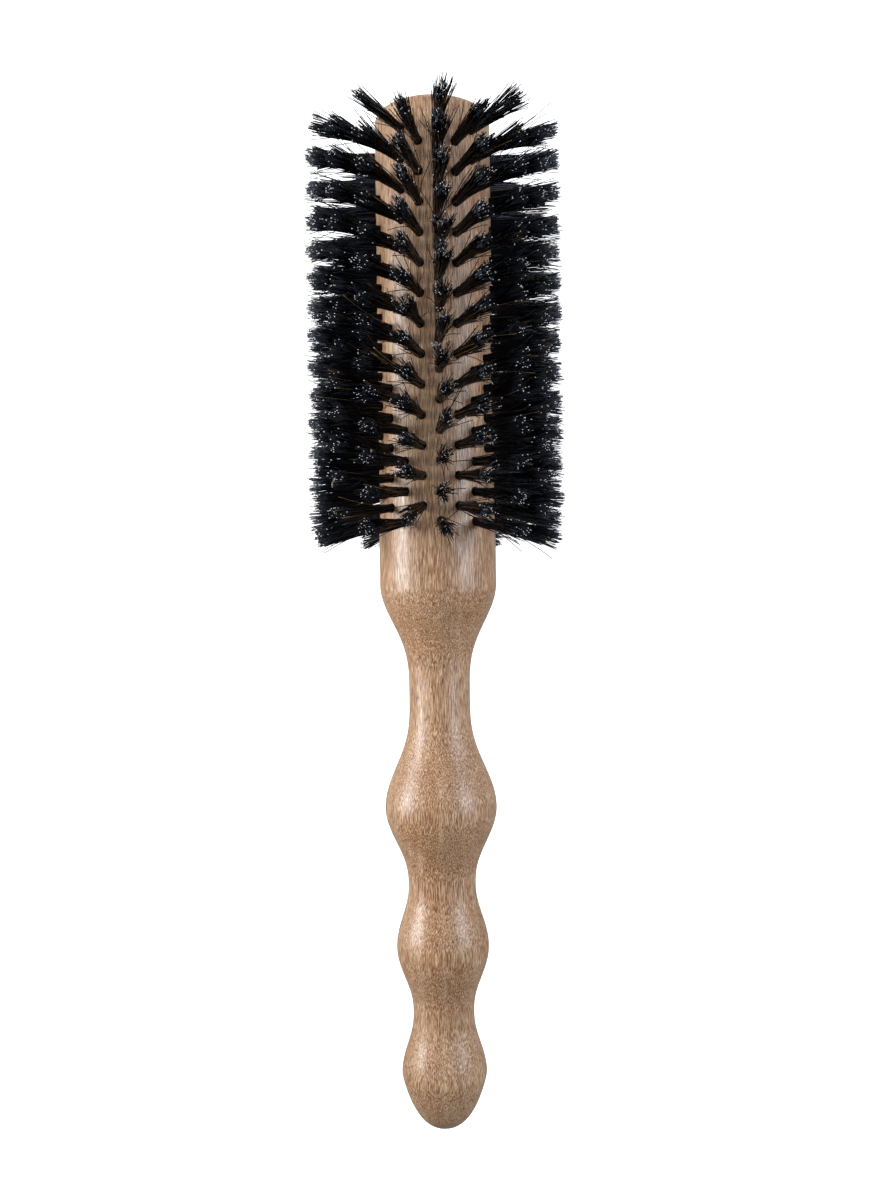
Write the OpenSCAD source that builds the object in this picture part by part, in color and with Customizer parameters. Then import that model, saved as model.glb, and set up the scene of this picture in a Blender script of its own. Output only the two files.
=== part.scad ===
// Round barrel brush: one turned hardwood body, drilled all round for tufts of
// bristle, each tuft folded over a flat wire anchor at the bottom of its hole.
// Millimetres. The brush lies along X with the barrel at +X and rests on z = 0.

/* [Body] */
// Overall length, handle end to barrel end
total_len = 251; // [205:1:305]
// Diameter of the drilled barrel
barrel_d = 28.6; // [23:0.2:36]
// How far the bare collar stands proud of the drilled barrel
collar_step = 0.2; // [0.2:0.1:1]
// Radius round the edge of the barrel's end
barrel_edge_r = 1.5; // [0.5:0.1:4]
// Distance from the handle end to the collar's handle side
collar_at = 135; // [130:1:142]
// Length of the collar at its full diameter
collar_len = 13.2; // [8:0.2:16]

/* [Handle] */
// Diameter of the bulge at the handle's end
end_bulge_d = 21.2; // [16:0.2:28]
// Distance from the handle end to that bulge
end_bulge_at = 13.3; // [10:0.1:18]
// Diameter of the neck above the end bulge
low_neck_d = 15.2; // [12:0.2:18]
// Distance from the handle end to that neck
low_neck_at = 28.4; // [24:0.1:34]
// Diameter of the middle bulge
mid_bulge_d = 23; // [18:0.2:28]
// Distance from the handle end to the middle bulge
mid_bulge_at = 44.8; // [40:0.1:50]
// Diameter of the neck above the middle bulge
mid_neck_d = 16.8; // [12:0.2:20]
// Distance from the handle end to that neck
mid_neck_at = 60; // [55:0.1:66]
// Diameter of the thumb bulge
thumb_bulge_d = 27.8; // [22:0.2:28]
// Distance from the handle end to the thumb bulge
thumb_bulge_at = 79.5; // [75:0.1:85]
// Diameter of the long neck under the collar
top_neck_d = 15.2; // [12:0.2:20]
// Distance from the handle end to the long neck
top_neck_at = 106.5; // [100:0.1:112]

/* [Bristles] */
// Rows of tufts round the barrel, long and short ones in turn
row_count = 20; // [16:2:24]
// Distance from one tuft to the next along a row
tuft_pitch = 7.2; // [6:0.1:9]
// Clear wood from the collar to the edge of the first hole
first_hole_gap = 0.4; // [0.2:0.1:2]
// Least clear wood from the last hole to the rounded edge of the barrel's end
last_hole_gap = 4.6; // [2:0.1:8]
// Length of bristle that stands out of the wood
bristle_len = 18; // [12:0.5:26]
// Diameter of a tuft at its tips
tuft_tip_d = 3.8; // [2.6:0.1:4.8]
// Lean of the first tufts towards the handle, in degrees
low_lean = 11; // [0:1:12]
// Lean of the last tufts towards the barrel's end, in degrees
top_lean = 5; // [0:1:8]
// How many tuft pitches the lean takes to fade out
lean_fade = 3; // [1:1:4]

/* [Holes and anchors] */
// Diameter of a tuft hole
hole_d = 2.3; // [1.9:0.1:2.8]
// Depth of a tuft hole
hole_depth = 6.5; // [5:0.1:8]
// Radial clearance from a tuft to its hole
hole_clearance = 0.03; // [0.01:0.01:0.08]
// Thickness of the anchor's flat wire
anchor_thick = 0.35; // [0.25:0.05:0.5]
// Height of the anchor's flat wire
anchor_high = 1.6; // [1.2:0.1:2]
// How far each end of an anchor bites into the wood
anchor_bite = 0.15; // [0.1:0.05:0.3]
// Height of the folded bristle under an anchor
fold_high = 0.6; // [0.4:0.1:1]
// Clearance all round an anchor
anchor_clearance = 0.02; // [0.01:0.01:0.04]

/* [Hidden] */
$fn = 48;

// how full each slope of the handle is: 1 is an even wave, more keeps the neck longer
end_slope = 1.17;
mid_slope = 1.17;
thumb_low_slope = 1.25;
thumb_high_slope = 1.6;
collar_slope = 2;
waist_slope = 1.05;
// shape of the rounded handle end
end_round = 0.38;
end_shoulder = 1.15;
// points on each slope and on the handle's end
slope_steps = 16;
end_steps = 14;

barrel_r = barrel_d / 2;
collar_r = barrel_r + collar_step;
hole_r = hole_d / 2;
root_r = hole_r - hole_clearance;
tip_r = tuft_tip_d / 2;
row_angle = 360 / row_count;
barrel_at = collar_at + collar_len;
// the first tuft of a long row, and as many more as the barrel's length takes
first_tuft_at = barrel_at + first_hole_gap + hole_r;
drilled_len = total_len - barrel_edge_r - last_hole_gap - hole_r - first_tuft_at;
tufts_per_row = floor(drilled_len / tuft_pitch) + 1;
last_tuft_at = first_tuft_at + (tufts_per_row - 1) * tuft_pitch;
anchor_low = fold_high - hole_depth;
anchor_span = hole_d + 2 * anchor_bite;
tip_at = barrel_r + bristle_len;
// the brush rests on two rows, half a row's angle either side of straight down
axis_high = tip_at * cos(row_angle / 2) + tip_r * sin(row_angle / 2);
// how far a hole's cutter runs out past the barrel's curve
cutter_over = 1;

wood = [0.68, 0.55, 0.44];
bristle = [0.07, 0.075, 0.09];
steel = [0.62, 0.63, 0.65];

function two_digits(n) = n < 10 ? str("0", n) : str(n);
function row_name(kind, i) = str(kind, "_row_", two_digits(i + 1));
function is_long(i) = i % 2 == 0;
function tuft_count(i) = tufts_per_row - (is_long(i) ? 0 : 1);
function tuft_at(i, k) = first_tuft_at + (k + (is_long(i) ? 0 : 0.5)) * tuft_pitch;

// lean of a tuft by its place along the barrel: negative is towards the handle
function fade(gap) = max(0, 1 - gap / (lean_fade * tuft_pitch));
function lean(at) = top_lean * fade(last_tuft_at - at) - low_lean * fade(at - first_tuft_at);

// one slope of the handle's wave, from a neck to the bulge or collar it runs up to
function wave(t, power) = pow((1 - cos(180 * t)) / 2, power);
function slope(neck, bulge, power, up) = [
    for (n = [1 : slope_steps])
        let (t = n / slope_steps, u = up ? t : 1 - t)
            [neck.x + (bulge.x - neck.x) * wave(u, power), neck.y + (bulge.y - neck.y) * u]
];

// points are [radius, distance from the handle's end]
end_bulge = [end_bulge_d / 2, end_bulge_at];
low_neck = [low_neck_d / 2, low_neck_at];
mid_bulge = [mid_bulge_d / 2, mid_bulge_at];
mid_neck = [mid_neck_d / 2, mid_neck_at];
thumb_bulge = [thumb_bulge_d / 2, thumb_bulge_at];
top_neck = [top_neck_d / 2, top_neck_at];
collar_edge = [collar_r, collar_at];

// the handle's rounded end, closely stepped where it meets the axis
function round_end() = [
    for (n = [0 : end_steps])
        let (u = pow(n / end_steps, 3))
            [end_bulge.x * pow(1 - pow(1 - u, end_shoulder), end_round), end_bulge.y * u]
];

function barrel_edge() = [
    for (n = [0 : slope_steps])
        let (a = 90 * n / slope_steps)
            [barrel_r - barrel_edge_r * (1 - cos(a)), total_len - barrel_edge_r * (1 - sin(a))]
];

outline = concat(
    round_end(),
    slope(low_neck, end_bulge, end_slope, false),
    slope(low_neck, mid_bulge, mid_slope, true),
    slope(mid_neck, mid_bulge, waist_slope, false),
    slope(mid_neck, thumb_bulge, thumb_low_slope, true),
    slope(top_neck, thumb_bulge, thumb_high_slope, false),
    slope(top_neck, collar_edge, collar_slope, true),
    [[collar_r, barrel_at], [barrel_r, barrel_at]],
    barrel_edge(),
    [[0, total_len]]
);

// the brush's own axis, from the handle's end, laid along X at its resting height
module on_axis() {
    translate([-total_len / 2, 0, axis_high]) children();
}

// where tuft k of row i leaves the wood, with its hole along Z
module at_tuft(i, k) {
    at = tuft_at(i, k);
    translate([at, 0, 0])
        rotate([row_angle * (i + 0.5), 0, 0])
            translate([0, 0, barrel_r])
                rotate([0, lean(at), 0])
                    children();
}

module along_row(i) {
    on_axis()
        for (k = [0 : tuft_count(i) - 1])
            at_tuft(i, k) children();
}

// the flat wire, or with a gap the seat or slot it fits
module anchor_wire(span, gap = 0) {
    translate([0, 0, anchor_low + anchor_high / 2])
        cube([anchor_thick + 2 * gap, span, anchor_high + 2 * gap], center = true);
}

// a tuft hole with the seat that the anchor's ends press into the wood
module hole_cutter() {
    translate([0, 0, -hole_depth])
        cylinder(r = hole_r, h = hole_depth + cutter_over);
    anchor_wire(anchor_span + 2 * anchor_clearance, anchor_clearance);
}

// one tuft: straight in its hole, then spreading evenly to its tips
module tuft() {
    difference() {
        rotate_extrude()
            polygon([
                [0, anchor_clearance - hole_depth],
                [root_r, anchor_clearance - hole_depth],
                [root_r, 0],
                [tip_r, bristle_len],
                [0, bristle_len]
            ]);
        anchor_wire(anchor_span, anchor_clearance);
    }
}

module brush_body() {
    color(wood)
        difference() {
            on_axis() rotate([0, 90, 0]) rotate_extrude() polygon(outline);
            for (i = [0 : row_count - 1]) along_row(i) hole_cutter();
        }
}

module bristle_row(i) {
    color(bristle) along_row(i) tuft();
}

module anchor_row(i) {
    color(steel) along_row(i) anchor_wire(anchor_span);
}

brush_body();
for (i = [0 : row_count - 1])
    bristle_row(i);
for (i = [0 : row_count - 1])
    anchor_row(i);
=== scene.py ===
"""Round barrel brush: a turned beech body with tufts of boar bristle held by flat wire."""

import logging
import math
from dataclasses import dataclass, field
from enum import Enum
from typing import Any, Sequence

import bmesh
import bpy
import numpy as np
from mathutils import Matrix, Vector


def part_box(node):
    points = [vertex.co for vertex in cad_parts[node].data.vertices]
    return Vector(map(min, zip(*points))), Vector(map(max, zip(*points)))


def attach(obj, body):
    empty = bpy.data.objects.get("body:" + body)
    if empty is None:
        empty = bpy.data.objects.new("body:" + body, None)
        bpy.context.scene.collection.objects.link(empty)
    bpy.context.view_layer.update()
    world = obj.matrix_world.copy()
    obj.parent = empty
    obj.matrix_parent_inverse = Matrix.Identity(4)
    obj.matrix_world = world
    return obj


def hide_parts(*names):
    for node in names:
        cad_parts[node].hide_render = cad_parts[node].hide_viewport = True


LOG = logging.getLogger("round_brush")
MM = 0.001
BODY = "root"

# Value of "along" at a bristle's end: past one for a near-white cut end, partly the paler real
# end and partly a painted highlight, short of it for a dark one.
PALE_GLINT_END = 1.02
DARK_END = 0.98

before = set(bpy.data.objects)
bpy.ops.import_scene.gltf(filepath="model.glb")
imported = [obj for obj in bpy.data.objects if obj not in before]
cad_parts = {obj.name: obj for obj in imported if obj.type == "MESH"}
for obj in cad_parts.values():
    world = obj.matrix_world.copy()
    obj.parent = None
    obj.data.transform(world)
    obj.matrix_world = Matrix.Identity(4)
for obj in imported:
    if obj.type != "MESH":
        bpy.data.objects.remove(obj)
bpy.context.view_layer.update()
WOOD_LOW, WOOD_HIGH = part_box("brush_body")


# --------------------------------------------------------------------------- helpers


def srgb(code: str) -> tuple[float, float, float, float]:
    """Turn an sRGB hex colour into linear RGBA.

    Args:
        code: Six hex digits, with or without a leading hash.

    Returns:
        Linear red, green, blue and an alpha of one.
    """
    digits = code.lstrip("#")
    values = [int(digits[i:i + 2], 16) / 255 for i in (0, 2, 4)]
    linear = [v / 12.92 if v <= 0.04045 else ((v + 0.055) / 1.055) ** 2.4 for v in values]
    return (*linear, 1.0)


def add_node(tree: bpy.types.NodeTree, kind: str, links: dict[Any, Any] | None = None,
             values: dict[Any, Any] | None = None,
             stops: Sequence[tuple[float, str]] = (), **settings: Any) -> bpy.types.Node:
    """Add one shader node with its settings, socket values and incoming links.

    Args:
        tree: The node tree that takes the node.
        kind: The node's type name without the ShaderNode prefix.
        links: Input socket name or number to the output socket that feeds it.
        values: Input socket name or number to its constant value.
        stops: Places and hex colours of a colour ramp, lowest first.
        **settings: Properties of the node itself.

    Returns:
        The new node.
    """
    node = tree.nodes.new("ShaderNode" + kind)
    for name, value in settings.items():
        setattr(node, name, value)
    for name, value in (values or {}).items():
        node.inputs[name].default_value = value
    for name, source in (links or {}).items():
        tree.links.new(source, node.inputs[name])
    for index, (place, code) in enumerate(stops):
        elements = node.color_ramp.elements
        element = elements[index] if index < len(elements) else elements.new(place)
        element.position = place
        element.color = srgb(code)
    return node


def new_material(name: str) -> tuple[bpy.types.Material, bpy.types.NodeTree, bpy.types.Node]:
    """Make an empty material with a Principled shader joined to its output.

    Args:
        name: The material's name.

    Returns:
        The material, its tree and its Principled node.
    """
    material = bpy.data.materials.new(name)
    material.use_nodes = True
    tree = material.node_tree
    tree.nodes.clear()
    shader = add_node(tree, "BsdfPrincipled")
    add_node(tree, "OutputMaterial", {"Surface": shader.outputs["BSDF"]})
    return material, tree, shader


def new_piece(name: str, mesh: bpy.types.Mesh, material: bpy.types.Material,
              slot: str, *nodes: str) -> bpy.types.Object:
    """Put a finished mesh in the scene as a piece of the brush.

    Args:
        name: The piece's name.
        mesh: Its mesh, already in place.
        material: Its finish.
        slot: Not used.
        *nodes: The CAD nodes it stands for.

    Returns:
        The new object.
    """
    piece = bpy.data.objects.new(name, mesh)
    bpy.context.scene.collection.objects.link(piece)
    mesh.materials.clear()
    mesh.materials.append(material)
    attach(piece, BODY)
    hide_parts(*nodes)
    LOG.info("%s: %d faces", name, len(mesh.polygons))
    return piece


# -------------------------------------------------------------------------- finishes


class Blend(Enum):
    """How a wash of colour meets what lies under it."""

    COVER = "MIX"
    STAIN = "MULTIPLY"


@dataclass(frozen=True)
class Figure:
    """One layer of the wood's figure: the size of its marks across and along, in mm."""

    wide: float
    long: float
    detail: float
    shift: float


@dataclass(frozen=True)
class Wash:
    """A colour that comes in where a pattern goes from its start value to its full one."""

    colour: str
    start: float
    full: float
    blend: Blend = Blend.COVER


@dataclass(frozen=True)
class LacqueredBeech:
    """Turned and sanded beech under satin lacquer: pale, even, with fine lengthwise grain.

    Fibres and pores run along the brush, so they show as short light and dark dashes
    where the wood's side shows, and as fine speckle on the slopes, where their ends do.
    The lacquer gives a soft broken highlight down each side. Real beech fibres and pores
    are under a tenth of a millimetre wide and are drawn coarser here so that they show.
    """

    pale: str = "#cda985"
    tan: str = "#b88f6a"
    warm: str = "#ab784d"
    cloud_stops: tuple[float, float, float] = (0.3, 0.5, 0.7)
    clouds: Figure = Figure(16.0, 64.0, 3.0, 0.0)
    bands: Figure = Figure(3.2, 96.0, 2.0, 7.0)
    fibres: Figure = Figure(0.18, 3.4, 3.0, 3.0)
    pores: Figure = Figure(0.22, 1.6, 1.0, 11.0)
    figure_roughness: float = 0.55
    ring_gap: float = 2.6
    ring_wander: float = 1.2
    ring_detail: float = 2.0
    ring_detail_scale: float = 0.6
    heart: tuple[float, float] = (17.0, -41.0)
    pale_bands: Wash = Wash("#cda985", 0.52, 0.75)
    warm_rings: Wash = Wash("#ab784d", 0.45, 1.60)
    dark_fibres: Wash = Wash("#94745a", 0.50, 0.64, Blend.STAIN)
    light_fibres: Wash = Wash("#e9cdab", 0.47, 0.33)
    dark_pores: Wash = Wash("#4f3823", 0.60, 0.74)
    relief: float = 0.45
    relief_depth: float = 0.05
    smoothest: float = 0.36
    roughest: float = 0.54
    lacquer: float = 0.50
    lacquer_roughness: float = 0.32

    def material(self) -> bpy.types.Material:
        """Build the wood.

        Returns:
            The finished material.
        """
        material, tree, shader = new_material("lacquered_beech")
        place = add_node(tree, "TexCoord").outputs["Object"]
        noises = []
        for layer in (self.clouds, self.bands, self.fibres, self.pores):
            scale = (1 / (layer.long * MM), 1 / (layer.wide * MM), 1 / (layer.wide * MM))
            mapping = add_node(tree, "Mapping", {"Vector": place},
                               {"Scale": scale, "Location": [layer.shift] * 3})
            noise = add_node(tree, "TexNoise", {"Vector": mapping.outputs["Vector"]},
                             {"Scale": 1.0, "Detail": layer.detail,
                              "Roughness": self.figure_roughness})
            noises.append(noise.outputs["Fac"])
        clouds, bands, fibres, pores = noises
        # Growth rings round a heart that lies beside the brush: arcs on the barrel's flat
        # end, and faint lengthwise lines everywhere else. A ring wave of scale 1 repeats
        # every pi / 10.
        heart = add_node(tree, "Mapping", {"Vector": place},
                         {"Location": (0, *(c * MM for c in self.heart))})
        rings = add_node(tree, "TexWave", {"Vector": heart.outputs["Vector"]},
                         {"Scale": math.pi / 10 / (self.ring_gap * MM),
                          "Distortion": self.ring_wander, "Detail": self.ring_detail,
                          "Detail Scale": self.ring_detail_scale},
                         wave_type="RINGS", rings_direction="X", wave_profile="SAW")
        rings = rings.outputs["Fac"]

        stops = list(zip(self.cloud_stops, (self.warm, self.tan, self.pale)))
        colour = add_node(tree, "ValToRGB", {"Fac": clouds}, stops=stops).outputs["Color"]
        amounts = []
        for pattern, wash in ((bands, self.pale_bands), (rings, self.warm_rings),
                              (fibres, self.dark_fibres), (fibres, self.light_fibres),
                              (pores, self.dark_pores)):
            amount = add_node(tree, "MapRange", {"Value": pattern},
                              {"From Min": wash.start, "From Max": wash.full})
            amounts.append(amount.outputs["Result"])
            mix = add_node(tree, "MixRGB", {"Fac": amounts[-1], "Color1": colour},
                           {"Color2": srgb(wash.colour)}, blend_type=wash.blend.value)
            colour = mix.outputs["Color"]
        tree.links.new(colour, shader.inputs["Base Color"])

        # The pores come last in the loop above, and they lie below the fibres.
        height = add_node(tree, "Math", {0: fibres, 1: amounts[-1]}, operation="SUBTRACT")
        bump = add_node(tree, "Bump", {"Height": height.outputs["Value"]},
                        {"Strength": self.relief, "Distance": self.relief_depth * MM})
        tree.links.new(bump.outputs["Normal"], shader.inputs["Normal"])
        rough = add_node(tree, "MapRange", {"Value": fibres},
                         {"To Min": self.smoothest, "To Max": self.roughest})
        tree.links.new(rough.outputs["Result"], shader.inputs["Roughness"])
        shader.inputs["IOR"].default_value = 1.5
        shader.inputs["Coat Weight"].default_value = self.lacquer
        shader.inputs["Coat Roughness"].default_value = self.lacquer_roughness
        return material


@dataclass(frozen=True)
class BoarBristle:
    """Natural boar bristle: glossy blue-black, with a few brown hairs and near-white cut ends.

    The smooth hairs give thin cool highlights along each tuft. A few in a hundred shade
    off to brown and gold. The near-white cut ends are partly the paler ends of real bristle
    and partly a painted highlight, and make a fine speckle on the outside of a tuft.
    """

    black: str = "#080a0f"
    brown: str = "#332216"
    gold: str = "#94733f"
    last_black: float = 0.95
    full_brown: float = 0.98
    full_gold: float = 1.0
    # The near-white cut end is partly the paler end of real bristle and partly a painted
    # highlight.
    pale_end_and_glint: str = "#f0f3f8"
    end_start: float = 1.0
    end_full: float = 1.01
    sheen: str = "#dbe5f8"

    def material(self) -> bpy.types.Material:
        """Build the bristle finish.

        Returns:
            The finished material.
        """
        material, tree, shader = new_material("boar_bristle")
        tint = add_node(tree, "Attribute", attribute_name="tint").outputs["Fac"]
        along = add_node(tree, "Attribute", attribute_name="along").outputs["Fac"]
        colour = add_node(tree, "ValToRGB", {"Fac": tint},
                          stops=[(self.last_black, self.black), (self.full_brown, self.brown),
                                 (self.full_gold, self.gold)]).outputs["Color"]
        # Painted highlight: ends marked past one go near white, partly for the paler real ends.
        tip_glint = add_node(tree, "MapRange", {"Value": along},
                        {"From Min": self.end_start,
                         "From Max": self.end_full}).outputs["Result"]
        colour = add_node(tree, "MixRGB", {"Fac": tip_glint, "Color1": colour},
                          {"Color2": srgb(self.pale_end_and_glint)}).outputs["Color"]
        tree.links.new(colour, shader.inputs["Base Color"])
        shader.inputs["Roughness"].default_value = 0.26
        shader.inputs["IOR"].default_value = 1.46
        shader.inputs["Specular Tint"].default_value = srgb(self.sheen)
        return material


@dataclass(frozen=True)
class AnchorWire:
    """Flat drawn nickel-silver wire: dull metal with fine lines along the wire. In mm."""

    metal: str = "#b9b6ad"
    line_wide: float = 0.05
    line_long: float = 0.4
    smoothest: float = 0.3
    roughest: float = 0.5

    def material(self) -> bpy.types.Material:
        """Build the wire's finish.

        Returns:
            The finished material.
        """
        material, tree, shader = new_material("drawn_wire")
        place = add_node(tree, "TexCoord").outputs["Object"]
        across, along = 1 / (self.line_wide * MM), 1 / (self.line_long * MM)
        mapping = add_node(tree, "Mapping", {"Vector": place}, {"Scale": (across, along, along)})
        lines = add_node(tree, "TexNoise", {"Vector": mapping.outputs["Vector"]},
                         {"Scale": 1.0, "Detail": 2.0})
        rough = add_node(tree, "MapRange", {"Value": lines.outputs["Fac"]},
                         {"To Min": self.smoothest, "To Max": self.roughest})
        tree.links.new(rough.outputs["Result"], shader.inputs["Roughness"])
        shader.inputs["Base Color"].default_value = srgb(self.metal)
        shader.inputs["Metallic"].default_value = 1.0
        return material


@dataclass(frozen=True)
class StudioPaper:
    """Matt white background with a faint tooth, lit softly from below like a light table."""

    white: str = "#f6f6f6"
    glow: float = 0.76
    tooth_per_metre: float = 900.0
    tooth_depth: float = 0.05
    relief: float = 0.05

    def material(self) -> bpy.types.Material:
        """Build the paper.

        Returns:
            The finished material.
        """
        material, tree, shader = new_material("studio_paper")
        place = add_node(tree, "TexCoord").outputs["Object"]
        tooth = add_node(tree, "TexNoise", {"Vector": place},
                         {"Scale": self.tooth_per_metre, "Detail": 2.0})
        bump = add_node(tree, "Bump", {"Height": tooth.outputs["Fac"]},
                        {"Strength": self.relief, "Distance": self.tooth_depth * MM})
        tree.links.new(bump.outputs["Normal"], shader.inputs["Normal"])
        shader.inputs["Base Color"].default_value = srgb(self.white)
        shader.inputs["Roughness"].default_value = 0.9
        shader.inputs["Emission Color"].default_value = srgb("#ffffff")
        shader.inputs["Emission Strength"].default_value = self.glow
        return material


# -------------------------------------------------------------------------- geometry


@dataclass(frozen=True)
class DrillPlan:
    """Where the tuft holes are, worked out from the frame and a few sizes in mm."""

    rows: int = 20
    long_row: int = 14
    pitch: float = 7.2
    first_from_handle: float = 149.75
    barrel_r: float = 14.3
    hole_r: float = 1.15
    hole_depth: float = 6.5
    free_len: float = 18.0
    low_lean: float = 11.0
    top_lean: float = 5.0
    lean_fade: float = 3.0

    @property
    def axis_height(self) -> float:
        """Height of the brush's axis above the floor, in metres."""
        return (WOOD_LOW.z + WOOD_HIGH.z) / 2

    @property
    def handle_end(self) -> float:
        """Place of the handle's end along X, in metres."""
        return WOOD_LOW.x

    def count(self, row: int) -> int:
        """Tufts in a row: long rows and short rows take turns."""
        return self.long_row - row % 2

    def along(self, row: int, tuft: int) -> float:
        """Distance of a tuft from the handle's end, in mm."""
        return self.first_from_handle + (tuft + 0.5 * (row % 2)) * self.pitch

    def lean(self, at: float) -> float:
        """Lean of a tuft at a distance from the handle's end, in degrees.

        Args:
            at: Distance in mm.

        Returns:
            Degrees, negative towards the handle.
        """
        reach = self.lean_fade * self.pitch
        last = self.first_from_handle + (self.long_row - 1) * self.pitch
        top = self.top_lean * max(0.0, 1 - (last - at) / reach)
        low = self.low_lean * max(0.0, 1 - (at - self.first_from_handle) / reach)
        return top - low

    def angle(self, row: int) -> float:
        """Angle of a row round the axis from straight up, in radians."""
        return math.radians(360 / self.rows * (row + 0.5))

    def placement(self, row: int, tuft: int) -> Matrix:
        """Matrix from a tuft's own millimetres, with Z along its hole, to the frame.

        Args:
            row: The row's number from zero.
            tuft: The tuft's number in its row from zero.

        Returns:
            The placement in metres.
        """
        at = self.along(row, tuft)
        axis = Matrix.Translation((self.handle_end + at * MM, 0, self.axis_height))
        around = Matrix.Rotation(self.angle(row), 4, "X")
        mouth = Matrix.Translation((0, 0, self.barrel_r * MM))
        lean = Matrix.Rotation(math.radians(self.lean(at)), 4, "Y")
        return axis @ around @ mouth @ lean @ Matrix.Scale(MM, 4)


@dataclass(frozen=True)
class GripPoint:
    """A neck or bulge of the turned grip, in mm, and the power of the slope below it."""

    at: float
    radius: float
    slope: float = 1.0


@dataclass
class TurnedBody:
    """The one-piece beech body: its sizes in mm and the way it is turned and drilled."""

    plan: DrillPlan
    collar_len: float = 13.2
    edge_r: float = 1.5
    end_bulge: GripPoint = GripPoint(13.3, 10.6)
    low_neck: GripPoint = GripPoint(28.4, 7.6, 1.17)
    middle_bulge: GripPoint = GripPoint(44.8, 11.5, 1.17)
    middle_neck: GripPoint = GripPoint(60.0, 8.4, 1.05)
    thumb_bulge: GripPoint = GripPoint(79.5, 13.9, 1.25)
    top_neck: GripPoint = GripPoint(106.5, 7.6, 1.6)
    collar: GripPoint = GripPoint(135.0, 14.5, 2.0)
    collar_chamfer: float = 0.1
    end_round: float = 0.38
    end_shoulder: float = 1.15
    end_crowding: int = 3
    slope_steps: int = 30
    edge_steps: int = 8
    turns: int = 128
    hole_sides: int = 20
    drill_above: float = 1.0
    sharp_angle: float = 35.0

    def rounded_end(self) -> list[tuple[float, float]]:
        """Outline of the handle's rounded end, with its points crowded at the tip.

        Returns:
            Distances from the tip and radii, in mm.
        """
        at, radius = self.end_bulge.at, self.end_bulge.radius
        steps = range(1, self.slope_steps + 1)
        shares = [(n / self.slope_steps) ** self.end_crowding for n in steps]
        return [(at * u, radius * (1 - (1 - u) ** self.end_shoulder) ** self.end_round)
                for u in shares]

    def wavy_grip(self) -> list[tuple[float, float]]:
        """Outline of the necks and bulges from the end bulge to the collar.

        Returns:
            Distances from the handle's end and radii, in mm.
        """
        points = []
        start = self.end_bulge
        for end in (self.low_neck, self.middle_bulge, self.middle_neck, self.thumb_bulge,
                    self.top_neck, self.collar):
            rising = end.radius > start.radius
            neck, bulge = sorted((start.radius, end.radius))
            for n in range(1, self.slope_steps + 1):
                t = n / self.slope_steps
                from_neck = t if rising else 1 - t
                share = ((1 - math.cos(math.pi * from_neck)) / 2) ** end.slope
                points.append((start.at + (end.at - start.at) * t,
                               neck + (bulge - neck) * share))
            start = end
        return points

    def barrel(self, total: float) -> list[tuple[float, float]]:
        """Outline of the collar, the barrel and its rounded edge.

        Args:
            total: The body's length in mm.

        Returns:
            Distances from the handle's end and radii, in mm.
        """
        shoulder = self.collar.at + self.collar_len
        radius = self.plan.barrel_r
        points = [(shoulder, self.collar.radius), (shoulder + self.collar_chamfer, radius)]
        for n in range(self.edge_steps + 1):
            a = math.pi / 2 * n / self.edge_steps
            points.append((total - self.edge_r * (1 - math.sin(a)),
                           radius - self.edge_r * (1 - math.cos(a))))
        return points

    def turned(self) -> bpy.types.Mesh:
        """Spin the outline round the axis.

        Returns:
            The closed body before drilling.
        """
        total = (WOOD_HIGH.x - WOOD_LOW.x) / MM
        outline = [(0.0, 0.0), *self.rounded_end(), *self.wavy_grip(), *self.barrel(total),
                   (total, 0.0)]
        bm = bmesh.new()
        points = [bm.verts.new((WOOD_LOW.x + s * MM, 0, r * MM)) for s, r in outline]
        edges = [bm.edges.new(pair) for pair in zip(points, points[1:])]
        bmesh.ops.spin(bm, geom=points + edges, cent=(0, 0, 0), axis=(1, 0, 0), dvec=(0, 0, 0),
                       angle=2 * math.pi, steps=self.turns, use_merge=True)
        bmesh.ops.remove_doubles(bm, verts=bm.verts, dist=1e-6)
        bmesh.ops.translate(bm, vec=(0, 0, self.plan.axis_height), verts=bm.verts)
        bmesh.ops.recalc_face_normals(bm, faces=bm.faces)
        mesh = bpy.data.meshes.new("turned_body")
        bm.to_mesh(mesh)
        bm.free()
        return mesh

    def drills(self) -> bpy.types.Mesh:
        """All the tuft holes as closed cylinders.

        Returns:
            One mesh of separate cutters.
        """
        plan = self.plan
        bm = bmesh.new()
        length = plan.hole_depth + self.drill_above
        for row in range(plan.rows):
            for tuft in range(plan.count(row)):
                centre = Matrix.Translation((0, 0, length / 2 - plan.hole_depth))
                bmesh.ops.create_cone(bm, cap_ends=True, segments=self.hole_sides,
                                      radius1=plan.hole_r, radius2=plan.hole_r, depth=length,
                                      matrix=plan.placement(row, tuft) @ centre)
        mesh = bpy.data.meshes.new("drills")
        bm.to_mesh(mesh)
        bm.free()
        return mesh

    def drilled(self) -> bpy.types.Mesh:
        """Cut the tuft holes into the turned body.

        Returns:
            The finished mesh.
        """
        scene = bpy.context.scene
        blank = bpy.data.objects.new("blank", self.turned())
        cutter = bpy.data.objects.new("cutter", self.drills())
        scene.collection.objects.link(blank)
        scene.collection.objects.link(cutter)
        cut = blank.modifiers.new("holes", "BOOLEAN")
        cut.operation = "DIFFERENCE"
        cut.solver = "MANIFOLD"
        cut.object = cutter
        evaluated = blank.evaluated_get(bpy.context.evaluated_depsgraph_get())
        mesh = bpy.data.meshes.new_from_object(evaluated)
        mesh.name = "brush_body_wood"
        for helper in (blank, cutter):
            bpy.data.objects.remove(helper)
        mesh.shade_smooth()
        mesh.set_sharp_from_angle(angle=math.radians(self.sharp_angle))
        return mesh

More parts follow.
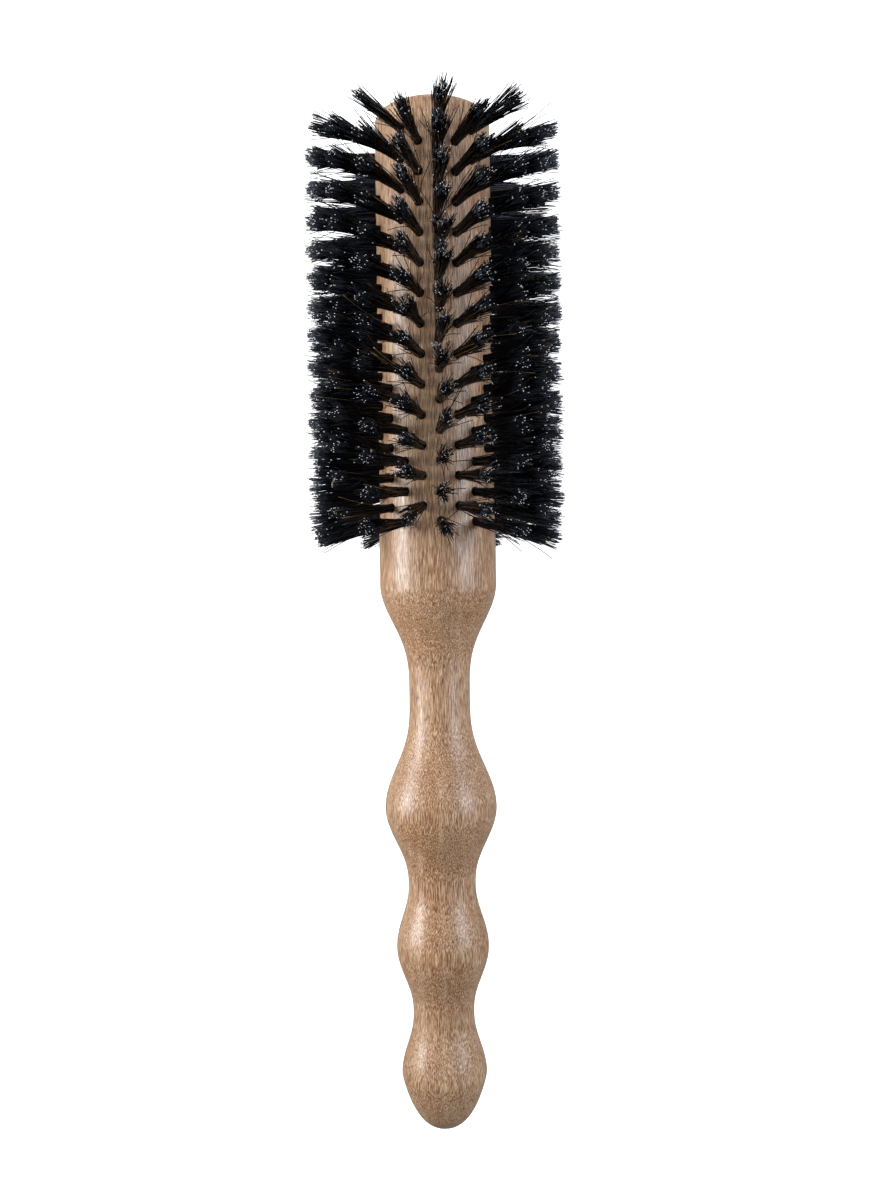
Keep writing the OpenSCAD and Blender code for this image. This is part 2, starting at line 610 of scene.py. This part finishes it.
    def build(self, finish: LacqueredBeech) -> bpy.types.Object:
        """Make the body and dress it.

        Args:
            finish: The wood.

        Returns:
            The body's object.
        """
        return new_piece("turned_wood_body", self.drilled(), finish.material(), "wood",
                         "brush_body")


class Leg(Enum):
    """The two halves of a folded bristle."""

    HANDLE_SIDE = -1
    BARREL_SIDE = 1


@dataclass
class BristleRows:
    """The rows of tufts, each a bundle of bristles folded under its anchor. Sizes in mm."""

    plan: DrillPlan
    hairs: int = 46
    sides: int = 3
    stations: Sequence[float] = (1.0, 0.78, 0.54, 0.28, 0.0)
    thick_r: float = 0.130
    thin_r: float = 0.100
    bundle_r: float = 1.02
    fold_z: float = -6.1
    fold_uneven: float = 0.2
    fold_squeeze: float = 0.4
    beside_z: float = -5.85
    beside_squeeze: tuple[float, float] = (0.6, 0.9)
    anchor_gap: float = 0.25
    flare: float = 1.42
    flare_power: float = 1.5
    lock_count: int = 9
    lock_spread: float = 0.86
    spread: float = 0.20
    sway: float = 0.34
    wave: float = 0.16
    stray_share: float = 0.07
    stray_reach: float = 2.2
    trim: float = 0.01
    uneven: float = 0.060
    uneven_hair: float = 0.035
    short_share: float = 0.10
    shortest: float = 0.2
    # Share of bristle ends painted near white, partly paler real ends and partly a painted
    # highlight.
    pale_glint_share: float = 0.20
    floor_gap: float = 0.05
    seed: int = 41
    rng: np.random.Generator = field(init=False)

    def __post_init__(self) -> None:
        """Seed the randomness, so that every run gives the same bristles."""
        self.rng = np.random.default_rng(self.seed)

    @property
    def rings(self) -> int:
        """Rings along one folded bristle."""
        return 2 * (len(self.stations) + 1) + 1

    def folded_hair(self) -> bpy.types.Mesh:
        """One straight three-sided tube with a ring wherever a folded bristle bends.

        Returns:
            A mesh with one unit of length per ring along Z.
        """
        bm = bmesh.new()
        length = self.rings - 1
        bmesh.ops.create_cone(bm, cap_ends=True, segments=self.sides, radius1=1, radius2=1,
                              depth=length, matrix=Matrix.Translation((0, 0, length / 2)))
        lengthwise = [edge for edge in bm.edges if edge.calc_length() > length / 2]
        bmesh.ops.subdivide_edges(bm, edges=lengthwise, cuts=length - 1, use_grid_fill=True)
        bmesh.ops.recalc_face_normals(bm, faces=bm.faces)
        mesh = bpy.data.meshes.new("folded_hair")
        bm.to_mesh(mesh)
        bm.free()
        return mesh

    def leg_ends(self, leg: Leg, tufts: int,
                 sway: np.ndarray) -> tuple[np.ndarray, np.ndarray, np.ndarray]:
        """Where one leg of every bristle in a row leaves its hole and where it ends.

        Args:
            leg: Which half of the folded bristles.
            tufts: Tufts in the row.
            sway: Sideways lean of each bristle's tuft (bristle, xy).

        Returns:
            Roots and tips (bristle, xy), and the number of each bristle's lock.
        """
        rng, total = self.rng, tufts * self.hairs
        reach = self.bundle_r * np.sqrt(rng.random(total))
        turn = rng.uniform(-math.pi / 2, math.pi / 2, total)
        root = np.stack([leg.value * reach * np.cos(turn), reach * np.sin(turn)], axis=1)
        tip = root * self.flare + rng.normal(0, self.spread, (total, 2)) + sway
        lock = rng.integers(0, self.lock_count, total)
        lock += np.repeat(np.arange(tufts), self.hairs) * self.lock_count
        pulls = rng.normal(0, self.lock_spread, (tufts * self.lock_count, 2))
        tip += pulls[lock]
        stray = rng.random(total) < self.stray_share
        tip[stray] += rng.normal(0, self.stray_reach, (int(stray.sum()), 2))
        return root, tip, lock

    def centre_lines(self, tufts: int) -> tuple[np.ndarray, np.ndarray, np.ndarray]:
        """Where every ring of every bristle in a row goes, in its tuft's own mm.

        Each leg has a ring at every station from its end to the hole's mouth and one
        beside the anchor. The middle ring is the fold under the anchor.

        Args:
            tufts: Tufts in the row.

        Returns:
            Ring centres (bristle, ring, xyz), ring radii and places along the bristle.
        """
        rng, total = self.rng, tufts * self.hairs
        centres = np.zeros((total, self.rings, 3))
        radii = np.full((total, self.rings), self.thick_r)
        places = np.zeros((total, self.rings))
        sway = np.repeat(rng.normal(0, self.sway, (tufts, 2)), self.hairs, axis=0)
        fold_y = np.zeros(total)
        for leg in Leg:
            from_end = np.arange(len(self.stations) + 1)
            rings = from_end if leg is Leg.HANDLE_SIDE else self.rings - 1 - from_end
            end, beside = rings[0], rings[-1]
            root, tip, lock = self.leg_ends(leg, tufts, sway)
            length = self.free_len(lock)
            wave = rng.normal(0, self.wave, (total, 2))
            for ring, share in zip(rings, self.stations):
                bend = (tip - root) * share ** self.flare_power
                bend += wave * math.sin(math.pi * share)
                centres[:, ring, :2] = root + bend
                centres[:, ring, 2] = length * share
                radii[:, ring] = self.thick_r + (self.thin_r - self.thick_r) * share
                places[:, ring] = share
            # Ends marked here are painted near white: partly paler real ends, partly a painted
            # highlight.
            pale = rng.random(total) < self.pale_glint_share
            places[:, end] = np.where(pale, PALE_GLINT_END, DARK_END)
            squeeze_x, squeeze_y = self.beside_squeeze
            out = self.anchor_gap + squeeze_x * np.abs(root[:, 0])
            centres[:, beside, 0] = leg.value * out
            centres[:, beside, 1] = root[:, 1] * squeeze_y
            centres[:, beside, 2] = self.beside_z
            fold_y += root[:, 1] * self.fold_squeeze
        fold = self.rings // 2
        centres[:, fold, 1] = fold_y
        centres[:, fold, 2] = self.fold_z - rng.uniform(0, self.fold_uneven, total)
        return centres, radii, places

    def free_len(self, lock: np.ndarray) -> np.ndarray:
        """Free lengths: trimmed to one envelope, with locks and hairs that fall short.

        Args:
            lock: Number of the lock that each hair belongs to.

        Returns:
            Lengths in mm, one for each hair.
        """
        rng = self.rng
        total = len(lock)
        short = self.trim + np.abs(rng.normal(0, self.uneven, lock.max() + 1))[lock]
        short += np.abs(rng.normal(0, self.uneven_hair, total))
        short += (rng.random(total) < self.short_share) * rng.uniform(0.0, self.shortest, total)
        return self.plan.free_len * (1 - short)

    def repeated(self, hair: bpy.types.Mesh, times: int, name: str) -> bpy.types.Mesh:
        """Copies of the straight bristle, one after another in one mesh.

        Args:
            hair: The straight bristle.
            times: How many copies.
            name: The new mesh's name.

        Returns:
            The mesh, which keeps the bristle's own order of vertices in every copy.
        """
        power = hair.copy()
        bm = bmesh.new()
        left = times
        while left:
            if left % 2:
                bm.from_mesh(power)
            left //= 2
            twice = bmesh.new()
            twice.from_mesh(power)
            twice.from_mesh(power)
            twice.to_mesh(power)
            twice.free()
        mesh = bpy.data.meshes.new(name)
        bm.to_mesh(mesh)
        bm.free()
        bpy.data.meshes.remove(power)
        return mesh

    def across(self) -> np.ndarray:
        """Direction of each ring's first side, which turns over as the bristle folds.

        Returns:
            One direction for each ring (ring, xyz).
        """
        middle = self.rings // 2
        sides = np.zeros((self.rings, 3))
        sides[:middle, 0] = -1
        sides[middle, 2] = -1
        sides[middle + 1:, 0] = 1
        return sides

    def row_mesh(self, row: int, hair: bpy.types.Mesh) -> bpy.types.Mesh:
        """One row of tufts.

        Args:
            row: The row's number from zero.
            hair: The straight bristle that every one is bent from.

        Returns:
            The row's mesh in the frame.
        """
        plan, tufts = self.plan, self.plan.count(row)
        mesh = self.repeated(hair, tufts * self.hairs, f"bristles_{row + 1:02d}")
        # The straight bristle's height gives each vertex its ring, and its own X and Y
        # give its place round that ring.
        straight = np.array([v.co for v in hair.vertices])
        ring = np.rint(straight[:, 2]).astype(int)
        centres, radii, places = self.centre_lines(tufts)
        first = self.across()[ring] * straight[:, :1]
        second = np.array([0.0, 1.0, 0.0]) * straight[:, 1:2]
        local = centres[:, ring] + (first + second)[None] * radii[:, ring, None]
        local = local.reshape(tufts, -1, 3)
        for tuft in range(tufts):
            matrix = np.array(plan.placement(row, tuft))
            local[tuft] = local[tuft] @ matrix[:3, :3].T + matrix[:3, 3]
        # The places are now in metres in the frame, and every hair stays above the floor.
        local[..., 2] = np.maximum(local[..., 2], self.floor_gap * MM)
        mesh.vertices.foreach_set("co", local.astype(np.float32).ravel())
        tint = np.repeat(self.rng.random(len(centres)), len(straight))
        for name, values in (("along", places[:, ring].ravel()), ("tint", tint)):
            layer = mesh.attributes.new(name, "FLOAT", "POINT")
            layer.data.foreach_set("value", values.astype(np.float32))
        mesh.update()
        mesh.shade_smooth()
        return mesh

    def build(self, finish: BoarBristle) -> list[bpy.types.Object]:
        """Make every row and dress it.

        Args:
            finish: The bristle.

        Returns:
            One object per row.
        """
        hair, material = self.folded_hair(), finish.material()
        rows = []
        for row in range(self.plan.rows):
            name = f"bristle_row_{row + 1:02d}"
            rows.append(new_piece(name + "_hair", self.row_mesh(row, hair), material,
                                  "bristle", name))
        bpy.data.meshes.remove(hair)
        return rows


@dataclass
class WireAnchors:
    """The wire anchors, which keep their own shape and get their finish."""

    rows: int = 20

    def build(self, finish: AnchorWire) -> None:
        """Dress every row of anchors.

        Args:
            finish: The wire.
        """
        material = finish.material()
        for row in range(self.rows):
            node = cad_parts[f"anchor_row_{row + 1:02d}"]
            for slot in node.material_slots:
                slot.material = material
        LOG.info("wire anchors: %d rows dressed", self.rows)


# ---------------------------------------------------------------------------- studio


@dataclass
class Softbox:
    """One soft rectangular light, aimed at a point. Metres, watts and degrees of beam."""

    name: str
    place: tuple[float, float, float]
    target: tuple[float, float, float]
    size: tuple[float, float]
    watts: float
    colour: str = "#ffffff"
    beam: float = 80.0

    def build(self) -> bpy.types.Object:
        """Hang the light.

        Returns:
            The light's object.
        """
        data = bpy.data.lights.new(self.name, "AREA")
        data.shape = "RECTANGLE"
        data.size, data.size_y = self.size
        data.energy = self.watts
        data.spread = math.radians(self.beam)
        data.color = srgb(self.colour)[:3]
        lamp = bpy.data.objects.new(self.name, data)
        bpy.context.scene.collection.objects.link(lamp)
        lamp.location = self.place
        aim = Vector(self.target) - Vector(self.place)
        lamp.rotation_euler = aim.to_track_quat("-Z", "Y").to_euler()
        lamp.visible_camera = False
        return lamp


@dataclass
class Studio:
    """The floor, the lights and the camera above the brush.

    Angles are in degrees, and the lens and the places beside the brush in mm. The
    camera's distance and the floor's half width are in metres.
    """

    plan: DrillPlan
    camera_distance: float = 0.250
    camera_turn: float = 4.5
    camera_roll: float = 0.78
    level_with: float = 132.75
    beside_axis: float = 1.675
    lens: float = 30.35
    floor_half: float = 2.0
    sky_behind_handle: float = 0.16
    sky_beyond_barrel: float = 0.56

    def camera(self) -> bpy.types.Object:
        """Set the camera square to the brush's axis, a little round from straight above.

        Returns:
            The camera's object.
        """
        turn, roll = math.radians(self.camera_turn), math.radians(self.camera_roll)
        back = Vector((0, -math.sin(turn), math.cos(turn)))
        along = Vector((1, 0, 0))
        side = along.cross(back)
        right = side * math.cos(roll) - along * math.sin(roll)
        up = side * math.sin(roll) + along * math.cos(roll)
        level = Vector((self.plan.handle_end + self.level_with * MM, 0, self.plan.axis_height))
        data = bpy.data.cameras.new("camera")
        data.lens = self.lens
        camera = bpy.data.objects.new("camera", data)
        bpy.context.scene.collection.objects.link(camera)
        axes = Matrix((right, up, back)).transposed().to_4x4()
        place = level + back * self.camera_distance + side * self.beside_axis * MM
        camera.matrix_world = Matrix.Translation(place) @ axes
        bpy.context.scene.camera = camera
        return camera

    def floor(self, finish: StudioPaper) -> bpy.types.Object:
        """Lay the paper that the brush rests on, which throws no light back on to it.

        Args:
            finish: The paper.

        Returns:
            The floor's object.
        """
        bm = bmesh.new()
        bmesh.ops.create_grid(bm, x_segments=1, y_segments=1, size=self.floor_half)
        mesh = bpy.data.meshes.new("floor")
        bm.to_mesh(mesh)
        bm.free()
        mesh.materials.append(finish.material())
        floor = bpy.data.objects.new("floor", mesh)
        bpy.context.scene.collection.objects.link(floor)
        floor.visible_diffuse = False
        floor.visible_glossy = False
        return floor

    def lights(self) -> None:
        """Hang a soft key, a weaker fill, a top and a rim light, and brighten the sky.

        The sky is brighter beyond the barrel's end than behind the handle.
        """
        barrel = (0.05, 0.0, self.plan.axis_height)
        barrel_end = (0.12, 0.0, 0.04)
        Softbox("key", (0.09, 0.50, 0.22), barrel, (0.34, 0.26), 0.78).build()
        Softbox("fill", (0.09, -0.48, 0.30), barrel, (0.30, 0.22), 0.40, "#eef3ff").build()
        Softbox("top", (0.30, 0.0, 0.34), barrel, (0.4, 0.5), 0.04).build()
        Softbox("rim", (0.55, 0.0, 0.10), barrel_end, (0.3, 0.1), 0.03, "#cddfff").build()
        world = bpy.data.worlds.new("room")
        bpy.context.scene.world = world
        world.use_nodes = True
        tree = world.node_tree
        room = tree.nodes["Background"]
        room.inputs["Color"].default_value = srgb("#ffffff")
        direction = add_node(tree, "TexCoord").outputs["Generated"]
        along = add_node(tree, "SeparateXYZ", {0: direction}).outputs["X"]
        level = add_node(tree, "MapRange", {"Value": along},
                         {"From Min": -1.0, "To Min": self.sky_behind_handle,
                          "To Max": self.sky_beyond_barrel})
        tree.links.new(level.outputs["Result"], room.inputs["Strength"])

    def build(self) -> None:
        """Set up the whole studio."""
        self.camera()
        self.floor(StudioPaper())
        self.lights()
        bpy.context.scene.view_settings.view_transform = "Standard"
        LOG.info("studio ready")


def main() -> None:
    """Build the brush and its studio."""
    logging.basicConfig(level=logging.INFO, format="%(name)s: %(message)s")
    plan = DrillPlan()
    Studio(plan).build()
    TurnedBody(plan).build(LacqueredBeech())
    BristleRows(plan).build(BoarBristle())
    WireAnchors(plan.rows).build(AnchorWire())


if __name__ == "__main__":
    main()
